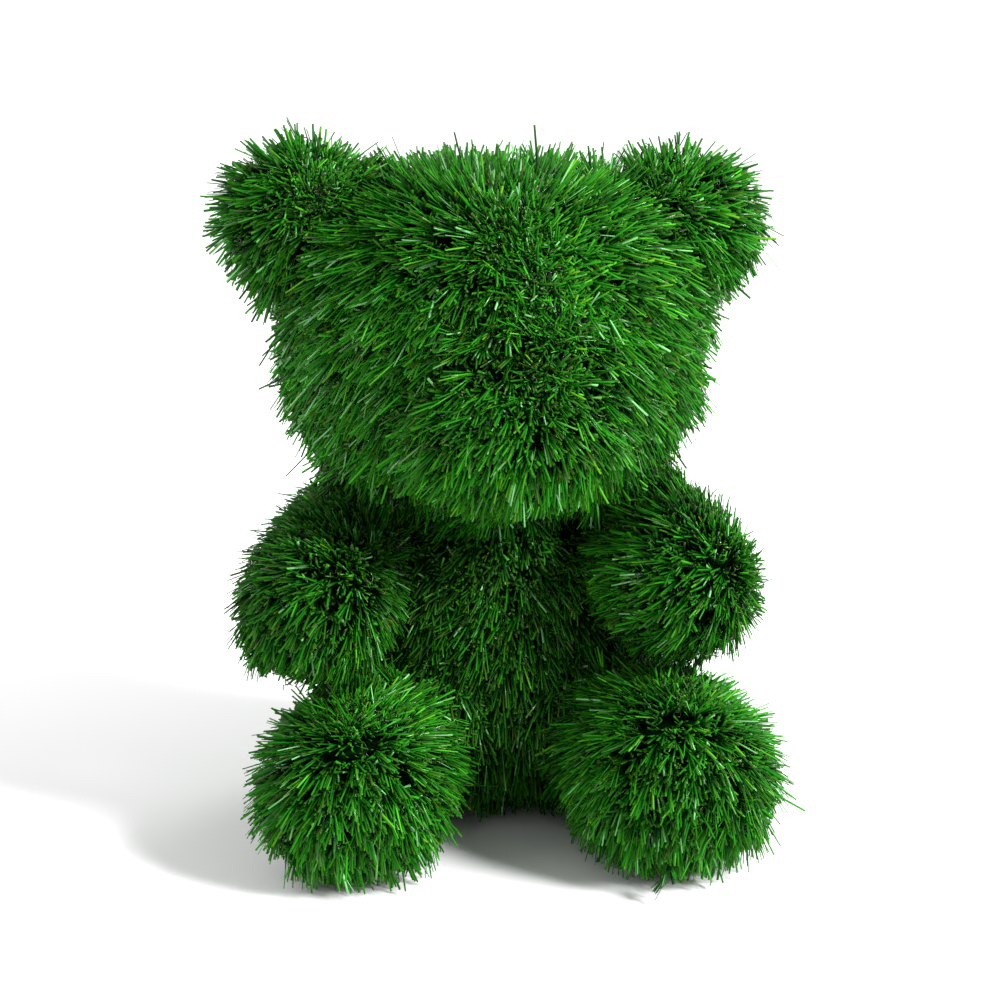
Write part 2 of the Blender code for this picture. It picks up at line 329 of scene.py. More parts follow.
class TurfSizes(bpy.types.PropertyGroup):
    """Sizes of the turf."""

    blade_length: FloatProperty(
        name="Blade length", description="Length of a grass blade", default=0.0330, unit="LENGTH"
    )
    blade_width: FloatProperty(
        name="Blade width", description="Width of a grass blade", default=0.0014, unit="LENGTH"
    )
    blade_rib: FloatProperty(
        name="Blade rib", description="Height of the rib along a blade", default=0.00040, unit="LENGTH"
    )
    pile_depth: FloatProperty(
        name="Pile depth",
        description="How far the backing lies under the outline",
        default=0.0145,
        unit="LENGTH",
    )
    tuft_spacing: FloatProperty(
        name="Tuft spacing", description="Least distance between two tufts", default=0.0061, unit="LENGTH"
    )
    top_blades: IntProperty(
        name="Top blades", description="Long bent blades stitched through one hole", default=9
    )
    under_blades: IntProperty(
        name="Under blades", description="Short straight blades stitched through one hole", default=12
    )
    thread_width: FloatProperty(
        name="Thread width", description="Width of a curled thread", default=0.0006, unit="LENGTH"
    )
    tuft_spread: FloatProperty(
        name="Tuft spread", description="Radius of a tuft at its root", default=0.0012, unit="LENGTH"
    )
    root_lean: FloatProperty(
        name="Lean at the root",
        description="Angle between a blade's root and the backing's normal",
        default=math.radians(50.0),
        subtype="ANGLE",
    )
    tip_lean: FloatProperty(
        name="Lean at the tip",
        description="Angle between a blade's tip and the backing's normal",
        default=math.radians(80.0),
        subtype="ANGLE",
    )
    whorl_reach: FloatProperty(
        name="Whorl reach",
        description="Distance over which the pile stands up round a whorl",
        default=0.026,
        unit="LENGTH",
    )
    voxel: FloatProperty(
        name="Backing voxel", description="Cell size of the backing", default=0.0050, unit="LENGTH"
    )


class TurfColours(bpy.types.PropertyGroup):
    """Colours of the turf."""

    deep: FloatVectorProperty(
        name="Deep", description="Darkest blades", subtype="COLOR", default=(0.0006, 0.0090, 0.0006)
    )
    bottle: FloatVectorProperty(
        name="Bottle", description="Dark blades", subtype="COLOR", default=(0.0010, 0.032, 0.0010)
    )
    emerald: FloatVectorProperty(
        name="Emerald", description="Most blades", subtype="COLOR", default=(0.0026, 0.105, 0.0020)
    )
    leaf: FloatVectorProperty(
        name="Leaf", description="Light blades", subtype="COLOR", default=(0.016, 0.220, 0.0050)
    )
    lime: FloatVectorProperty(
        name="Lime", description="Yellowish blades", subtype="COLOR", default=(0.060, 0.330, 0.016)
    )
    # A painted highlight: the whitish gloss streaks on the blades.
    pale_highlight: FloatVectorProperty(
        name="Pale", description="Palest blades", subtype="COLOR", default=(0.200, 0.520, 0.230)
    )
    # Nearly black: the backing's own dark colour, darkened further as painted shade of the deep gaps in
    # the pile.
    backing: FloatVectorProperty(
        name="Backing",
        description="Backing under the grass",
        subtype="COLOR",
        default=(0.0005, 0.0045, 0.0008),
    )


class StageValues(bpy.types.PropertyGroup):
    """Floor, lights and camera."""

    floor: FloatVectorProperty(
        name="Floor", description="Colour of the floor", subtype="COLOR", default=(0.93, 0.93, 0.93)
    )
    key_strength: FloatProperty(
        name="Key light", description="Strength of the key light", default=6.2, min=0.0
    )
    key_spread: FloatProperty(
        name="Key spread",
        description="Apparent width of the key light",
        default=math.radians(16.0),
        subtype="ANGLE",
    )
    fill_power: FloatProperty(
        name="Fill light", description="Power of the fill light", default=3.0, unit="POWER"
    )
    rim_power: FloatProperty(
        name="Rim lights", description="Power of each rim light", default=10.0, unit="POWER"
    )
    soft_size: FloatProperty(
        name="Soft lights", description="Width of the fill and rim lights", default=0.60, unit="LENGTH"
    )
    surround: FloatProperty(
        name="Surround", description="Strength of the pale surround", default=0.45, min=0.0
    )
    distance: FloatProperty(
        name="Camera distance", description="From the camera to the bear", default=1.40, unit="LENGTH"
    )
    azimuth: FloatProperty(
        name="Camera azimuth",
        description="Turn of the camera round the bear",
        default=math.radians(-6.5),
        subtype="ANGLE",
    )
    elevation: FloatProperty(
        name="Camera elevation",
        description="Height of the camera above the horizon",
        default=math.radians(15.0),
        subtype="ANGLE",
    )
    field: FloatProperty(
        name="Field", description="Width of the picture at the bear", default=0.600, unit="LENGTH"
    )
    aim_height: FloatProperty(
        name="Aim height",
        description="Height of the point at the picture's middle",
        default=0.179,
        unit="LENGTH",
    )
    aim_side: FloatProperty(
        name="Aim side", description="Sideways place of that point", default=0.0042, unit="LENGTH"
    )


class Number:
    """A number that varies over a surface, on which Python's operators add Math nodes."""

    def __init__(self, finish, socket):
        self.finish = finish
        self.socket = socket

    def math(self, operation, *others):
        return self.finish.math(operation, self, *others)

    def __add__(self, other):
        return self.math("ADD", other)

    __radd__ = __add__

    def __sub__(self, other):
        return self.math("SUBTRACT", other)

    def __rsub__(self, other):
        return self.finish.math("SUBTRACT", other, self)

    def __mul__(self, other):
        return self.math("MULTIPLY", other)

    __rmul__ = __mul__

    def __truediv__(self, other):
        return self.math("DIVIDE", other)

    def __rtruediv__(self, other):
        return self.finish.math("DIVIDE", other, self)

    def __pow__(self, other):
        return self.math("POWER", other)

    def __rpow__(self, other):
        return self.finish.math("POWER", other, self)

    def floor(self):
        return self.math("FLOOR")


class Finish:
    """A material with its Principled shader, and the way to add nodes to it."""

    def __init__(self, name):
        self.material = bpy.data.materials.new(name)
        self.material.use_nodes = True
        self.tree = self.material.node_tree
        self.shader = self.tree.nodes["Principled BSDF"]

    def node(self, kind, settings=None, inputs=None):
        """Add a node: its settings first, then the values or links of its sockets."""
        node = self.tree.nodes.new(kind)
        for key, value in (settings or {}).items():
            if key == "stops":
                self.set_stops(node.color_ramp, value)
            else:
                setattr(node, key, value)
        for key, value in (inputs or {}).items():
            self.feed(node.inputs[key], value)
        return node

    def math(self, operation, *values):
        node = self.node("ShaderNodeMath", {"operation": operation}, dict(enumerate(values)))
        return Number(self, node.outputs[0])

    def set_stops(self, ramp, stops):
        while len(ramp.elements) > 1:
            ramp.elements.remove(ramp.elements[-1])
        ramp.elements[0].position, ramp.elements[0].color = stops[0]
        for place, colour in stops[1:]:
            ramp.elements.new(place).color = colour

    def feed(self, socket, value):
        """Link a socket or a number to a socket, or set the value that stands on it."""
        if isinstance(value, Number):
            self.tree.links.new(value.socket, socket)
        elif isinstance(value, bpy.types.NodeSocket):
            self.tree.links.new(value, socket)
        else:
            socket.default_value = value

    def number(self, socket):
        return Number(self, socket)

    def chance(self, number):
        """A number from 0 to 1 drawn for each value of another."""
        node = self.node("ShaderNodeTexWhiteNoise", {"noise_dimensions": "1D"}, {"W": number})
        return self.number(node.outputs["Value"])

    def surface(self, **values):
        """Set or link the shader's sockets, named with underscores, and give the material."""
        for key, value in values.items():
            self.feed(self.shader.inputs[key.replace("_", " ")], value)
        return self.material


def solid_colour(colour):
    return (*colour, 1.0)


def blade_finish(colours):
    """Plastic grass: each column of the palette has its own colour, strength and gloss."""
    finish = Finish("grass_blades")
    place = finish.node("ShaderNodeUVMap", {"uv_map": BAKE_MAP})
    parts = finish.node("ShaderNodeSeparateXYZ", None, {0: place.outputs[0]})
    across = finish.number(parts.outputs["X"]) * float(SHADES)
    along = finish.number(parts.outputs["Y"])
    column = across.floor()
    stops = [(spot, solid_colour(getattr(colours, name))) for spot, name in SHADE_STOPS]
    shade = finish.node("ShaderNodeValToRGB", {"stops": stops}, {0: (column + 0.5) / float(SHADES)})

    # The tips are mixed toward lime: partly the blades' own lighter tips, partly painted light, the glow
    # of the bright surround through the thin tips.
    tips_lime_and_backlight = finish.node(
        "ShaderNodeMix",
        {"data_type": "RGBA"},
        {
            "Factor": (along - 0.70).math("MAXIMUM", 0.0) * 0.9,
            "A": shade.outputs["Color"],
            "B": solid_colour(colours.lime),
        },
    )

    # A blade is brighter on its rib, a painted highlight along the crease of the blade, and darker at its
    # root, painted shade deep in the pile; a few blades are olive.
    lift = finish.chance(column)
    rib = 1.0 - ((across - column - 0.5) * 2.0).math("ABSOLUTE")
    root = along.math("MINIMUM", 0.6) * 1.4 + 0.16
    strength = (lift * 0.6 + 0.7) * root * (rib * 0.3 + 0.85)
    olive = finish.chance(column + 0.71) ** 4.0 * 3.0 + 1.0
    tint = finish.node("ShaderNodeCombineXYZ", None, {0: strength * olive, 1: strength, 2: strength})
    mixed = finish.node(
        "ShaderNodeMix",
        {"data_type": "RGBA", "blend_type": "MULTIPLY"},
        {"Factor": 1.0, "A": tips_lime_and_backlight.outputs["Result"], "B": tint.outputs[0]},
    )

    # The threads and one blade in five are glossy.
    thatch = column.math("LESS_THAN", THATCH_SHADES - 0.5)
    glossy = finish.chance(column + 0.37).math("GREATER_THAN", 0.80)
    return finish.surface(
        Base_Color=mixed.outputs["Result"],
        Roughness=lift * 0.15 + 0.55,
        Specular_IOR_Level=0.06,
        Coat_Weight=glossy.math("MAXIMUM", thatch) * 0.7,
        Coat_Roughness=0.22,
    )


def backing_finish(colours):
    """Coated weave under the grass with a little unevenness, nearly black: its own dark colour darkened
    further as painted shade of the deep gaps in the pile.
    """
    finish = Finish("turf_backing")
    place = finish.node("ShaderNodeTexCoord")
    cloud = finish.node(
        "ShaderNodeTexNoise", None, {"Vector": place.outputs["Object"], "Scale": 220.0, "Detail": 2.0}
    )
    amount = finish.number(cloud.outputs[0])
    shade = finish.node(
        "ShaderNodeMix",
        {"data_type": "RGBA"},
        {
            "Factor": amount,
            "A": solid_colour(colours.backing),
            "B": solid_colour([value * 3.0 for value in colours.backing]),
        },
    )
    return finish.surface(
        Base_Color=shade.outputs["Result"],
        Roughness=0.9 - amount * 0.2,
        Specular_IOR_Level=0.02,
    )


def node_form(node):
    """A CAD node's mesh, its loose triangles joined, as a bmesh."""
    form = bmesh.new()
    form.from_mesh(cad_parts[node].data)
    bmesh.ops.remove_doubles(form, verts=form.verts, dist=1e-6)
    return form


def nearest(trees, place):
    """Distance from a place to the nearest of several skins, and whether it lies inside that one."""
    best, inside = 1.0, False
    for tree in trees:
        spot, normal, _, distance = tree.find_nearest(place)
        if distance < best:
            best, inside = distance, (place - spot).dot(normal) < 0.0
    return best, inside


def eased(value, low, high):
    """0 below low, 1 above high and smooth between."""
    share = np.clip((value - low) / (high - low), 0.0, 1.0)
    return share * share * (3.0 - 2.0 * share)


def rising(least, share):
    """From least at a share of 0 to 1 at a share of 1."""
    return least + (1.0 - least) * share


def object_from(form, name):
    """An object with the bmesh's mesh, which is then freed."""
    data = bpy.data.meshes.new(name)
    form.to_mesh(data)
    form.free()
    item = bpy.data.objects.new(name, data)
    bpy.context.scene.collection.objects.link(item)
    return item


def applied(item):
    """Replace an object's mesh with the result of its modifiers."""
    graph = bpy.context.evaluated_depsgraph_get()
    made = bpy.data.meshes.new_from_object(item.evaluated_get(graph))
    item.modifiers.clear()
    old = item.data
    item.data = made
    bpy.data.meshes.remove(old)


def skins(voxel):
    """Each node's form with its tufts smoothed away, and a tree to measure distances to it."""
    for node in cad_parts:
        if node not in SKINS:
            item = object_from(node_form(node), node + "_backing")
            remesh = item.modifiers.new("even", "REMESH")
            remesh.mode = "VOXEL"
            remesh.voxel_size = voxel
            smooth = item.modifiers.new("calm", "SMOOTH")
            smooth.factor = 0.5
            smooth.iterations = SKIN_SMOOTHING
            applied(item)
            form = bmesh.new()
            form.from_mesh(item.data)
            SKINS[node] = (item, BVHTree.FromBMesh(form))
            form.free()
    return SKINS


def depth_share(room):
    """How much of the pile's depth the backing is set in, by the room to the next part."""
    return rising(LEAST_DEPTH, eased(room, TIGHT_ROOM, FREE_ROOM))


def backing_of(node, sizes):
    """The backing: the skin set in by the pile's depth, less so where another part adjoins."""
    made = skins(sizes.voxel)
    item = made[node][0]
    trees = [made[other][1] for other in made if other != node]
    form = bmesh.new()
    form.from_mesh(item.data)
    form.normal_update()
    shares = [float(depth_share(nearest(trees, vert.co)[0])) for vert in form.verts]
    depth = sizes.pile_depth * PILES[node]["length"]
    moves = [vert.normal * -depth * share for vert, share in zip(form.verts, shares)]
    for vert, move in zip(form.verts, moves):
        vert.co += move
    for _ in range(BACKING_SMOOTHING):
        bmesh.ops.smooth_vert(
            form, verts=form.verts, factor=0.5, use_axis_x=True, use_axis_y=True, use_axis_z=True
        )
    form.to_mesh(item.data)
    form.free()
    return item, trees


def mesh_arrays(data):
    """Points, normals and triangles of a mesh as arrays."""
    data.calc_loop_triangles()
    points = np.empty(len(data.vertices) * 3)
    data.vertices.foreach_get("co", points)
    normals = np.empty(len(data.vertices) * 3)
    data.vertices.foreach_get("normal", normals)
    corners = np.empty(len(data.loop_triangles) * 3, dtype=np.int64)
    data.loop_triangles.foreach_get("vertices", corners)
    return points.reshape(-1, 3), normals.reshape(-1, 3), corners.reshape(-1, 3)


def unit(vectors):
    """The vectors at length 1."""
    return vectors / np.maximum(np.linalg.norm(vectors, axis=-1, keepdims=True), 1e-9)


def along_surface(vectors, normals):
    """The part of each vector that lies in its surface."""
    return vectors - normals * np.sum(vectors * normals, axis=1, keepdims=True)


def from_whorl(places, normals, pile, reach):
    """Way from the whorl along the surface, and 0 to 1 for out of its reach and for laid flat."""
    start, end = (np.array(point) for point in pile["whorl"])
    line = end - start
    share = np.clip((places - start) @ line / float(line @ line), 0.0, 1.0)
    offset = places - (start + share[:, None] * line)
    distance = np.linalg.norm(offset, axis=1)
    away = along_surface(offset, normals)
    level = np.linalg.norm(away, axis=1)
    far = np.where(distance > WHORL_LIMIT, 1.0, eased(level, WHORL_CORE * reach, reach))
    flat = eased(distance, reach, WHORL_FLAT * reach)
    return unit(away), far, flat


def tuft_roots(item, trees, pile, sizes, rng):
    """Places and normals of the tufts on a backing, and their room to the next part."""
    points, normals, corners = mesh_arrays(item.data)
    first, second, third = (points[corners[:, i]] for i in range(3))
    areas = np.linalg.norm(np.cross(second - first, third - first), axis=1) / 2.0
    spacing = sizes.tuft_spacing
    wanted = int(areas.sum() / (spacing * spacing) * TRIES_PER_TUFT)
    picks = rng.choice(len(areas), wanted, p=areas / areas.sum())
    spots = rng.random((wanted, 2))
    spots = np.where(spots.sum(axis=1, keepdims=True) > 1.0, 1.0 - spots, spots)
    weights = np.column_stack([1.0 - spots.sum(axis=1), spots])
    places = np.einsum("ni,nij->nj", weights, points[corners[picks]])
    ways = unit(np.einsum("ni,nij->nj", weights, normals[corners[picks]]))

    # A place is kept where no tuft stands nearer than the least distance, which is short at the whorl
    # and long at the back. Cells as wide as the spacing find the tufts that stand near.
    far = from_whorl(places, ways, pile, sizes.whorl_reach)[1]
    behind = 1.0 + THIN_BEHIND * eased(places[:, 1], 0.0, BEHIND_DEPTH)
    least = (spacing * pile["close"] * behind * rising(WHORL_CLOSE, far)) ** 2
    kept, rooms, cells = [], [], {}
    for index, place in enumerate(places):
        cell = tuple((place // spacing).astype(int))
        near = [
            other
            for x in (-1, 0, 1)
            for y in (-1, 0, 1)
            for z in (-1, 0, 1)
            for other in cells.get((cell[0] + x, cell[1] + y, cell[2] + z), ())
        ]
        if all(np.sum((places[other] - place) ** 2) > least[index] for other in near):
            cells.setdefault(cell, []).append(index)
            spot, way = Vector(place), Vector(ways[index])
            depth, covered = nearest(trees, spot + way * COVER_HEIGHT)
            if not (covered and depth > COVER_DEPTH):
                kept.append(index)
                rooms.append(nearest(trees, spot + way * ROOM_HEIGHT)[0])
    return places[kept], ways[kept], np.array(rooms)


def pile_ways(places, normals, pile, reach, rng):
    """Way in which each tuft lies, and how far it is out of the whorl's reach and laid flat."""
    away, far, flat = from_whorl(places, normals, pile, reach)
    right = eased(places[:, 0] - pile["whorl"][0][0], -SIDE_BLEND, SIDE_BLEND)
    droop = pile["droop"][0] * (1.0 - right) + pile["droop"][1] * right
    down = np.array((0.0, 0.0, -1.0))
    noise.seed_set(pile["seed"])
    swirl = np.array([noise.noise_vector(Vector(place) * SWIRL_SCALE) for place in places])
    loose = rng.normal(0.0, LOOSENESS, places.shape)
    ways = away + down * (droop * far)[:, None] + np.array(pile["sway"]) + swirl * SWIRL + loose
    return unit(along_surface(ways, normals)), far, flat


def bar_pattern(rings):
    """A three-sided bar along Z that starts in a point: each vertex's ring and corner, and the faces."""
    form = bmesh.new()
    bmesh.ops.create_circle(form, cap_ends=True, segments=3, radius=1.0)
    grown = bmesh.ops.extrude_face_region(form, geom=form.faces[:])
    verts = [item for item in grown["geom"] if isinstance(item, bmesh.types.BMVert)]
    bmesh.ops.translate(form, vec=(0.0, 0.0, rings - 1.0), verts=verts)
    if rings > 2:
        rising_edges = [edge for edge in form.edges if edge.verts[0].co.z != edge.verts[1].co.z]
        bmesh.ops.subdivide_edges(form, edges=rising_edges, cuts=rings - 2)
    start = [vert for vert in form.verts if vert.co.z < 0.5]
    bmesh.ops.pointmerge(form, verts=start, merge_co=(0.0, 0.0, 0.0))
    bmesh.ops.recalc_face_normals(form, faces=form.faces)
    bmesh.ops.triangulate(form, faces=form.faces)
    form.verts.index_update()
    points = np.array([vert.co[:] for vert in form.verts])
    faces = np.array([[vert.index for vert in face.verts] for face in form.faces])
    form.free()
    turn = np.degrees(np.arctan2(points[:, 1], points[:, 0])) % 360.0
    return np.rint(points[:, 2]).astype(int), (turn // 120.0).astype(int), faces


class Strands:
    """Blades and threads, gathered batch by batch into one mesh of three-sided bars."""

    def __init__(self):
        self.points = []
        self.corners = []
        self.maps = []
        self.total = 0

    def add(self, spines, sides, widths, rib, taper, columns):
        """Bars along the spines, flat towards the sides, each on its own column of the palette."""
        count, rings = spines.shape[:2]
        ring, corner, faces = bar_pattern(rings)
        heads = unit(np.gradient(spines, axis=1))
        sides = unit(sides - heads * np.sum(sides * heads, axis=2, keepdims=True))
        ridges = np.cross(heads, sides)
        across = np.array((-0.5, 0.5, 0.0))[corner] * np.array(taper)[ring]
        above = np.array((0.0, 0.0, rib))[corner] * np.array(taper)[ring]
        placed = spines[:, ring] + ridges[:, ring] * above[None, :, None]
        placed += sides[:, ring] * (widths[:, None] * across[None])[:, :, None]
        level = placed[..., 2]
        pressed = FLOOR_PRESS * np.exp(np.minimum(level / FLOOR_PRESS - 1.0, 0.0))
        placed[..., 2] = np.where(level < FLOOR_PRESS, pressed, level)
        self.points.append(placed.reshape(-1, 3))
        first = self.total + np.arange(count) * len(ring)
        self.corners.append((faces[None] + first[:, None, None]).reshape(-1))
        self.total += count * len(ring)

        # No triangle of the map is thinner than the bake can fill, not even that of a blunt tip.
        spread = np.array((0.10, 0.90, 0.50))[corner[faces]]
        height = 0.02 + 0.96 * ring[faces] / (rings - 1.0)
        level_face = np.ptp(height, axis=1, keepdims=True) < 0.01
        height += np.where(level_face, np.array((0.0, 0.006, -0.006)), 0.0)
        maps = np.empty((count, *faces.shape, 2))
        maps[..., 0] = (columns[:, None, None] + spread[None]) / SHADES
        maps[..., 1] = height[None]
        self.maps.append(maps.reshape(-1, 2))

    def mesh(self, name):
        """One mesh of all the bars, with its map."""
        data = bpy.data.meshes.new(name)
        corners = np.concatenate(self.corners)
        data.vertices.add(self.total)
        data.vertices.foreach_set("co", np.concatenate(self.points).ravel())
        data.loops.add(len(corners))
        data.loops.foreach_set("vertex_index", corners.astype(np.int32))
        data.polygons.add(len(corners) // 3)
        data.polygons.foreach_set("loop_start", np.arange(0, len(corners), 3, dtype=np.int32))
        data.update(calc_edges=True)
        layer = data.uv_layers.new(name=BAKE_MAP)
        layer.data.foreach_set("uv", np.concatenate(self.maps).ravel())
        return data


class Tufts:
    """The stitched tufts of a stretch of turf, which grow blades and threads."""

    def __init__(self, pile, sizes, rng, roots, normals, ways, far, flat, rooms):
        self.pile, self.sizes, self.rng = pile, sizes, rng
        self.roots, self.normals, self.ways = roots, normals, ways
        self.far, self.flat = far, flat
        self.shares = np.clip(depth_share(rooms), 0.0, 1.0)
        self.tone = rng.normal(0.0, TUFT_TONE, len(roots))
        self.tone += np.array([noise.noise(Vector(root) * PATCH_SCALE) for root in roots]) * PATCH_TONE
        # Painted shade: tufts near the next part are darker, as shade falls in the crevice between the
        # parts.
        self.tone -= PAINTED_SHADE_TONE * (1.0 - eased(rooms, 0.0, pile["painted_shade_reach"]))
        self.rise = rng.normal(0.0, RISE, len(roots))

    def blades(self, strands, number, layer):
        """Grow one layer of blades, as many in each tuft."""
        sizes, rng = self.sizes, self.rng
        tuft = np.repeat(np.arange(len(self.roots)), number)
        count = len(tuft)
        normals, ways, far = self.normals[tuft], self.ways[tuft], self.far[tuft]
        flat, shares = self.flat[tuft], self.shares[tuft]

        turn = rng.normal(0.0, layer["wander"], count)
        turn += rng.uniform(-math.pi, math.pi, count) * (1.0 - far) * WHORL_TURN
        beside = np.cross(normals, ways)
        ways = ways * np.cos(turn)[:, None] + beside * np.sin(turn)[:, None]
        beside = np.cross(normals, ways)

        spread = sizes.tuft_spread * (2.0 - far) * np.sqrt(rng.random(count))
        angle = rng.uniform(0.0, 2.0 * math.pi, count)
        roots = self.roots[tuft] + ways * (np.cos(angle) * spread)[:, None]
        roots += beside * (np.sin(angle) * spread)[:, None]

        standing = STANDING[0] + STANDING[1] * far + STANDING[2] * flat
        crest = 1.0 - self.pile["crest"] * eased(normals[:, 2], CREST_FROM, CREST_TO)
        upright = layer["stance"] * standing * crest
        sway = rng.normal(0.0, RISE, count) + self.rise[tuft] + (1.0 - shares) * TIGHT_LEAN
        lengths = sizes.blade_length * rng.uniform(*layer["length"], count)
        lengths *= self.pile["length"] * rising(WHORL_LENGTH, far) * rising(TIGHT_LENGTH, shares)
        lengths *= 1.0 - UNDER_CUT * eased(-normals[:, 2], UNDER_FROM, UNDER_TO)
        stray = rng.random(count) < STRAY_SHARE
        lengths = np.where(stray, lengths * STRAY_LENGTH, lengths)
        upright = np.where(stray, upright * STRAY_LEAN, upright)

        spine = [roots]
        for part, share in layer["bends"]:
            lean = (sizes.root_lean + (sizes.tip_lean - sizes.root_lean) * share) * upright + sway
            lean = np.clip(lean, *LEANS)[:, None]
            head = normals * np.cos(lean) + ways * np.sin(lean)
            spine.append(spine[-1] + head * (lengths * part)[:, None])
        twist = rng.uniform(-TWIST, TWIST, count)
        sides = beside * np.cos(twist)[:, None] + normals * np.sin(twist)[:, None]
        sides = np.repeat(sides[:, None], len(spine), axis=1)

        shade = self.pile["shade"] + layer["shade"] + self.tone[tuft]
        shade += rng.normal(0.0, BLADE_TONE, count)
        # A few blades are bright: partly paler blades, partly painted highlights.
        bright = rng.random(count) < BRIGHT_SHARE
        shade = np.where(bright, rng.uniform(*BRIGHT_TONES, count), shade)
        columns = np.clip(shade * SHADES, THATCH_SHADES, SHADES - 1).astype(int)
        widths = sizes.blade_width * rng.uniform(*layer["width"], count)
        strands.add(np.stack(spine, axis=1), sides, widths, sizes.blade_rib, layer["taper"], columns)

    def threads(self, strands):
        """Grow short curled threads between the blades, most of them at the whorl."""
        sizes, rng = self.sizes, self.rng
        chosen = rng.random(len(self.roots)) < self.pile["thatch"] + THREADS["extra"] * (1.0 - self.far)
        chosen &= self.roots[:, 2] > THREADS["clear"]
        tuft = np.repeat(np.nonzero(chosen)[0], THREADS["count"])
        count, rings = len(tuft), THREADS["rings"]
        if count == 0:
            return
        axis = unit(self.normals[tuft] + rng.normal(0.0, THREADS["wander"], (count, 3)))
        first = unit(np.cross(axis, rng.normal(0.0, 1.0, (count, 3))))
        second = np.cross(axis, first)
        steps = np.linspace(0.0, 1.0, rings)
        angle = rng.uniform(0.0, 2.0 * math.pi, count)[:, None]
        angle = angle + steps * rng.uniform(*THREADS["turn"], count)[:, None]
        radius = rng.uniform(*THREADS["radius"], count)[:, None]
        height = sizes.pile_depth * self.pile["length"] * self.shares[tuft]
        start = self.roots[tuft] + self.normals[tuft] * (
            height * rng.uniform(*THREADS["start"], count)
        )[:, None]
        reach = rng.uniform(*THREADS["reach"], count)[:, None] * steps
        spines = start[:, None] + axis[:, None] * reach[:, :, None]
        spines += first[:, None] * (np.cos(angle) * radius)[:, :, None]
        spines += second[:, None] * (np.sin(angle) * radius)[:, :, None]
        sides = np.repeat(axis[:, None], rings, axis=1)
        widths = np.full(count, sizes.thread_width)
        taper = (0.0,) + (1.0,) * (rings - 1)
        columns = rng.integers(0, THATCH_SHADES, count)
        strands.add(spines, sides, widths, sizes.thread_width * THREADS["rib"], taper, columns)


def grow_turf(node, sizes, finishes):
    """Backing and grass of one part of the bear."""
    pile = PILES[node]
    rng = np.random.default_rng(pile["seed"])
    backing, trees = backing_of(node, sizes)
    roots, normals, rooms = tuft_roots(backing, trees, pile, sizes, rng)
    if len(roots) == 0:
        raise RuntimeError(f"no grass grew on {node}")
    ways, far, flat = pile_ways(roots, normals, pile, sizes.whorl_reach, rng)
    tuft_triangles = BENT_TRIANGLES * sizes.top_blades + STRAIGHT_TRIANGLES * sizes.under_blades
    triangles = len(roots) * (tuft_triangles + THREAD_TRIANGLES)
    parts = math.ceil(triangles / MOST_TRIANGLES)
    pieces = [backing]
    for part, own in enumerate(np.array_split(np.argsort(roots[:, 0], kind="stable"), parts)):
        fields = (field[own] for field in (roots, normals, ways, far, flat, rooms))
        tufts = Tufts(pile, sizes, rng, *fields)
        strands = Strands()
        tufts.blades(strands, sizes.top_blades, TOP_LAYER)
        tufts.blades(strands, sizes.under_blades, UNDER_LAYER)
        tufts.threads(strands)
        name = f"{node}_grass_{part + 1}" if parts > 1 else f"{node}_grass"
        item = bpy.data.objects.new(name, strands.mesh(name))
        item.data.materials.append(finishes["blades"])
        bpy.context.scene.collection.objects.link(item)
        pieces.append(item)
    backing.data.materials.clear()
    backing.data.materials.append(finishes["backing"])
    for piece in pieces:
        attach(piece, "root")
        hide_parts(node)


def finishes_of(context):
    """The shared materials, made on first use."""
    colours = context.scene.topiary_colours
    return {
        "blades": bpy.data.materials.get("grass_blades") or blade_finish(colours),
        "backing": bpy.data.materials.get("turf_backing") or backing_finish(colours),
    }


def grow_parts(context, *nodes):
    """Grow the turf of some parts, and tell Blender that the operator is done."""
    for node in nodes:
        grow_turf(node, context.scene.topiary_sizes, finishes_of(context))
    return {"FINISHED"}


class TOPIARY_OT_head(bpy.types.Operator):
    """Grow the grass of the head"""

    bl_idname = "topiary.head"
    bl_label = "Head"
    bl_options = {"REGISTER", "UNDO"}

    def execute(self, context):
        return grow_parts(context, "head")


class TOPIARY_OT_muzzle(bpy.types.Operator):
    """Grow the grass of the muzzle"""

    bl_idname = "topiary.muzzle"
    bl_label = "Muzzle"
    bl_options = {"REGISTER", "UNDO"}

    def execute(self, context):
        return grow_parts(context, "muzzle")


class TOPIARY_OT_ears(bpy.types.Operator):
    """Grow the grass of both ears"""

    bl_idname = "topiary.ears"
    bl_label = "Ears"
    bl_options = {"REGISTER", "UNDO"}

    def execute(self, context):
        return grow_parts(context, "ear_left", "ear_right")


class TOPIARY_OT_torso(bpy.types.Operator):
    """Grow the grass of the torso"""

    bl_idname = "topiary.torso"
    bl_label = "Torso"
    bl_options = {"REGISTER", "UNDO"}

    def execute(self, context):
        return grow_parts(context, "torso")


class TOPIARY_OT_arms(bpy.types.Operator):
    """Grow the grass of both arms"""

    bl_idname = "topiary.arms"
    bl_label = "Arms"
    bl_options = {"REGISTER", "UNDO"}

    def execute(self, context):
        return grow_parts(context, "arm_left", "arm_right")


class TOPIARY_OT_legs(bpy.types.Operator):
    """Grow the grass of both legs"""

    bl_idname = "topiary.legs"
    bl_label = "Legs"
    bl_options = {"REGISTER", "UNDO"}

    def execute(self, context):
        return grow_parts(context, "leg_left", "leg_right")


def placed_light(name, kind, place):
    """A light at a place, turned to the bear."""
    light = bpy.data.lights.new(name, kind)
    item = bpy.data.objects.new(name, light)
    item.location = place
    item.rotation_mode = "QUATERNION"
    item.rotation_quaternion = (Vector(LIGHT_TARGET) - Vector(place)).to_track_quat("-Z", "Y")
    bpy.context.scene.collection.objects.link(item)
    return item


def soft_light(name, place, size, power):
    item = placed_light(name, "AREA", place)
    item.data.shape = "DISK"
    item.data.size = size
    item.data.energy = power
    return item


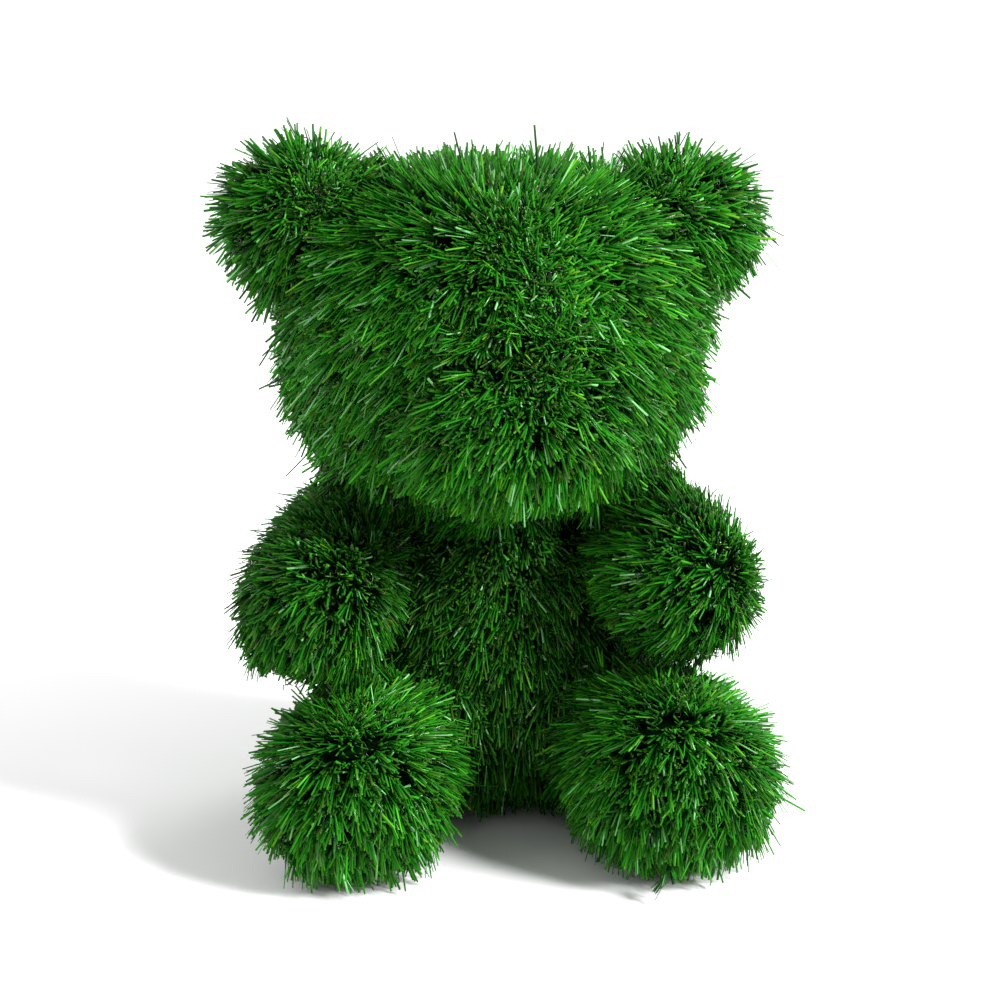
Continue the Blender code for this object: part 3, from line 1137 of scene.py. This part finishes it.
def sun_light(name, place, spread, strength):
    item = placed_light(name, "SUN", place)
    item.data.angle = spread
    item.data.energy = strength
    return item


def make_floor(values):
    form = bmesh.new()
    bmesh.ops.create_grid(form, x_segments=1, y_segments=1, size=FLOOR_REACH)
    floor = object_from(form, "floor")
    finish = Finish("pale_floor")
    floor.data.materials.append(finish.surface(Base_Color=solid_colour(values.floor), Roughness=0.9))


def make_lights(scene, values):
    """A pale surround, a soft sun from the bear's left, a weak fill and two rim lights behind."""
    world = bpy.data.worlds.new("pale_surround")
    world.use_nodes = True
    back = world.node_tree.nodes["Background"]
    back.inputs["Color"].default_value = (1.0, 1.0, 1.0, 1.0)
    back.inputs["Strength"].default_value = values.surround
    scene.world = world
    scene.view_settings.view_transform = "Standard"
    lights = (
        sun_light("key_light", (1.08, -0.80, 1.05), values.key_spread, values.key_strength),
        soft_light("fill_light", (-1.20, -0.90, 0.75), values.soft_size, values.fill_power),
        soft_light("rim_light_left", (-0.95, 0.85, 0.75), values.soft_size, values.rim_power),
        soft_light("rim_light_right", (0.95, 0.85, 0.75), values.soft_size, values.rim_power),
    )


def make_camera(scene, values):
    """The photograph's view: a little to the bear's right, from a little above."""
    turn, rise = values.azimuth, values.elevation
    ahead = Vector((-math.sin(turn) * math.cos(rise), math.cos(turn) * math.cos(rise), -math.sin(rise)))
    right = Vector((math.cos(turn), math.sin(turn), 0.0))
    aim = Vector((0.0, 0.0, values.aim_height)) + right * values.aim_side
    lens = bpy.data.cameras.new("camera")
    lens.sensor_width = SENSOR_WIDTH
    lens.lens = lens.sensor_width * values.distance / values.field
    lens.clip_start = 0.05
    camera = bpy.data.objects.new("camera", lens)
    camera.location = aim - ahead * values.distance
    camera.rotation_mode = "QUATERNION"
    camera.rotation_quaternion = ahead.to_track_quat("-Z", "Y")
    scene.collection.objects.link(camera)
    scene.camera = camera


class TOPIARY_OT_stage(bpy.types.Operator):
    """Set up the floor, the lights and the camera"""

    bl_idname = "topiary.stage"
    bl_label = "Stage"
    bl_options = {"REGISTER", "UNDO"}

    def execute(self, context):
        values = context.scene.topiary_stage
        make_floor(values)
        make_lights(context.scene, values)
        make_camera(context.scene, values)
        return {"FINISHED"}


class TOPIARY_PT_panel(bpy.types.Panel):
    """Buttons for the parts and the stage, and the values that they use."""

    bl_idname = "TOPIARY_PT_panel"
    bl_label = "Topiary bear"
    bl_space_type = "VIEW_3D"
    bl_region_type = "UI"
    bl_category = "Topiary"

    def draw(self, context):
        for operator in OPERATORS:
            self.layout.operator(operator.bl_idname)
        for group in ("topiary_sizes", "topiary_colours", "topiary_stage"):
            values = getattr(context.scene, group)
            box = self.layout.box()
            for key in values.bl_rna.properties.keys():
                if key not in ("rna_type", "name"):
                    box.prop(values, key)


GROUPS = (TurfSizes, TurfColours, StageValues)
OPERATORS = (
    TOPIARY_OT_head,
    TOPIARY_OT_muzzle,
    TOPIARY_OT_ears,
    TOPIARY_OT_torso,
    TOPIARY_OT_arms,
    TOPIARY_OT_legs,
    TOPIARY_OT_stage,
)
CLASSES = GROUPS + OPERATORS + (TOPIARY_PT_panel,)


def register():
    for item in CLASSES:
        bpy.utils.register_class(item)
    bpy.types.Scene.topiary_sizes = PointerProperty(type=TurfSizes)
    bpy.types.Scene.topiary_colours = PointerProperty(type=TurfColours)
    bpy.types.Scene.topiary_stage = PointerProperty(type=StageValues)


def unregister():
    del bpy.types.Scene.topiary_stage
    del bpy.types.Scene.topiary_colours
    del bpy.types.Scene.topiary_sizes
    for item in reversed(CLASSES):
        bpy.utils.unregister_class(item)


def main():
    register()
    bpy.ops.topiary.head()
    bpy.ops.topiary.muzzle()
    bpy.ops.topiary.ears()
    bpy.ops.topiary.torso()
    bpy.ops.topiary.arms()
    bpy.ops.topiary.legs()
    bpy.ops.topiary.stage()


if __name__ == "__main__":
    main()
